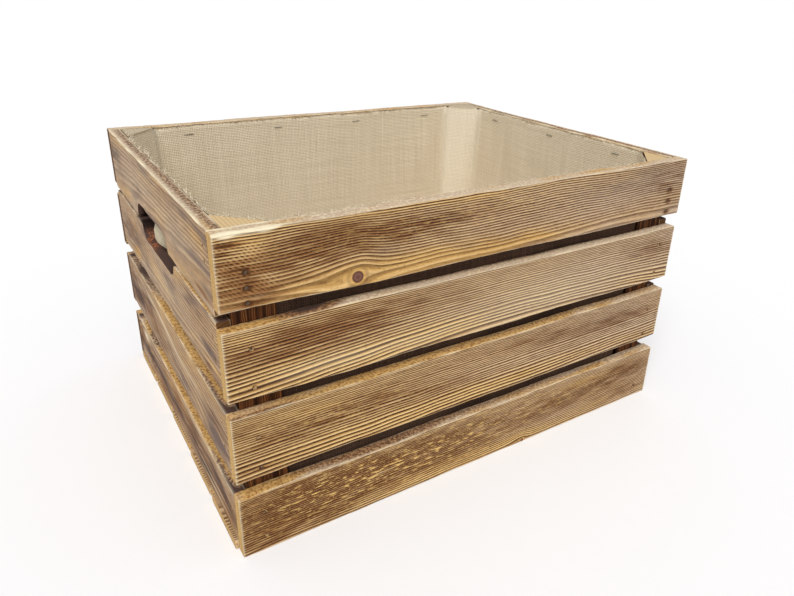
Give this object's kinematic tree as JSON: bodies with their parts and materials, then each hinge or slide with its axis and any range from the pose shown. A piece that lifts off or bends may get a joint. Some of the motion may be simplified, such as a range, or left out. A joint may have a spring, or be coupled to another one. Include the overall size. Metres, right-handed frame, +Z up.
{
  "type": "kindling box",
  "caption": "Slatted wooden box for kindling and firewood, with corner posts, hand slots in both ends, a slatted floor and a burlap liner.",
  "frame": {"origin": "middle of the underside, on the surface that the box stands on", "axes": "+X along the long front towards the right end, +Y from the front to the rear, +Z up"},
  "size_m": [0.4854, 0.378, 0.277],
  "materials": {
    "long_slat_wood": "torched and brushed softwood, deep straight ridges, gold on the ridges and dark brown between them, matt",
    "end_board_wood": "torched and brushed softwood, taupe with grey-purple clouds and golden tan, matt",
    "post_wood": "torched softwood, dark brown, vertical grain, matt",
    "floor_wood": "rough sawn softwood, light brown, matt",
    "burlap": "open plain weave of jute yarn, greenish beige, frayed cut edge",
    "nail_steel": "dull, darkened by the torch",
    "staple_steel": "galvanised wire"
  },
  "bodies": {
    "root": {"front_slat_1": "long_slat_wood", "front_slat_2": "long_slat_wood", "front_slat_3": "long_slat_wood", "front_slat_4": "long_slat_wood", "rear_slat_1": "long_slat_wood", "rear_slat_2": "long_slat_wood", "rear_slat_3": "long_slat_wood", "rear_slat_4": "long_slat_wood", "left_board_1": "end_board_wood", "left_board_2": "end_board_wood", "left_board_3": "end_board_wood", "left_board_4": "end_board_wood", "right_board_1": "end_board_wood", "right_board_2": "end_board_wood", "right_board_3": "end_board_wood", "right_board_4": "end_board_wood", "post_front_left": "post_wood", "post_front_right": "post_wood", "post_rear_left": "post_wood", "post_rear_right": "post_wood", "floor_board_1": "floor_wood", "floor_board_2": "floor_wood", "floor_board_3": "floor_wood", "floor_board_4": "floor_wood", "floor_board_5": "floor_wood", "liner_floor": "burlap", "liner_front": "burlap", "liner_rear": "burlap", "liner_left": "burlap", "liner_right": "burlap", "liner_corner_front_left": "burlap", "liner_corner_front_right": "burlap", "liner_corner_rear_left": "burlap", "liner_corner_rear_right": "burlap", "front_nails": "nail_steel", "rear_nails": "nail_steel", "left_nails": "nail_steel", "right_nails": "nail_steel", "floor_nails": "nail_steel", "liner_staples": "staple_steel"}
  },
  "joints": []
}
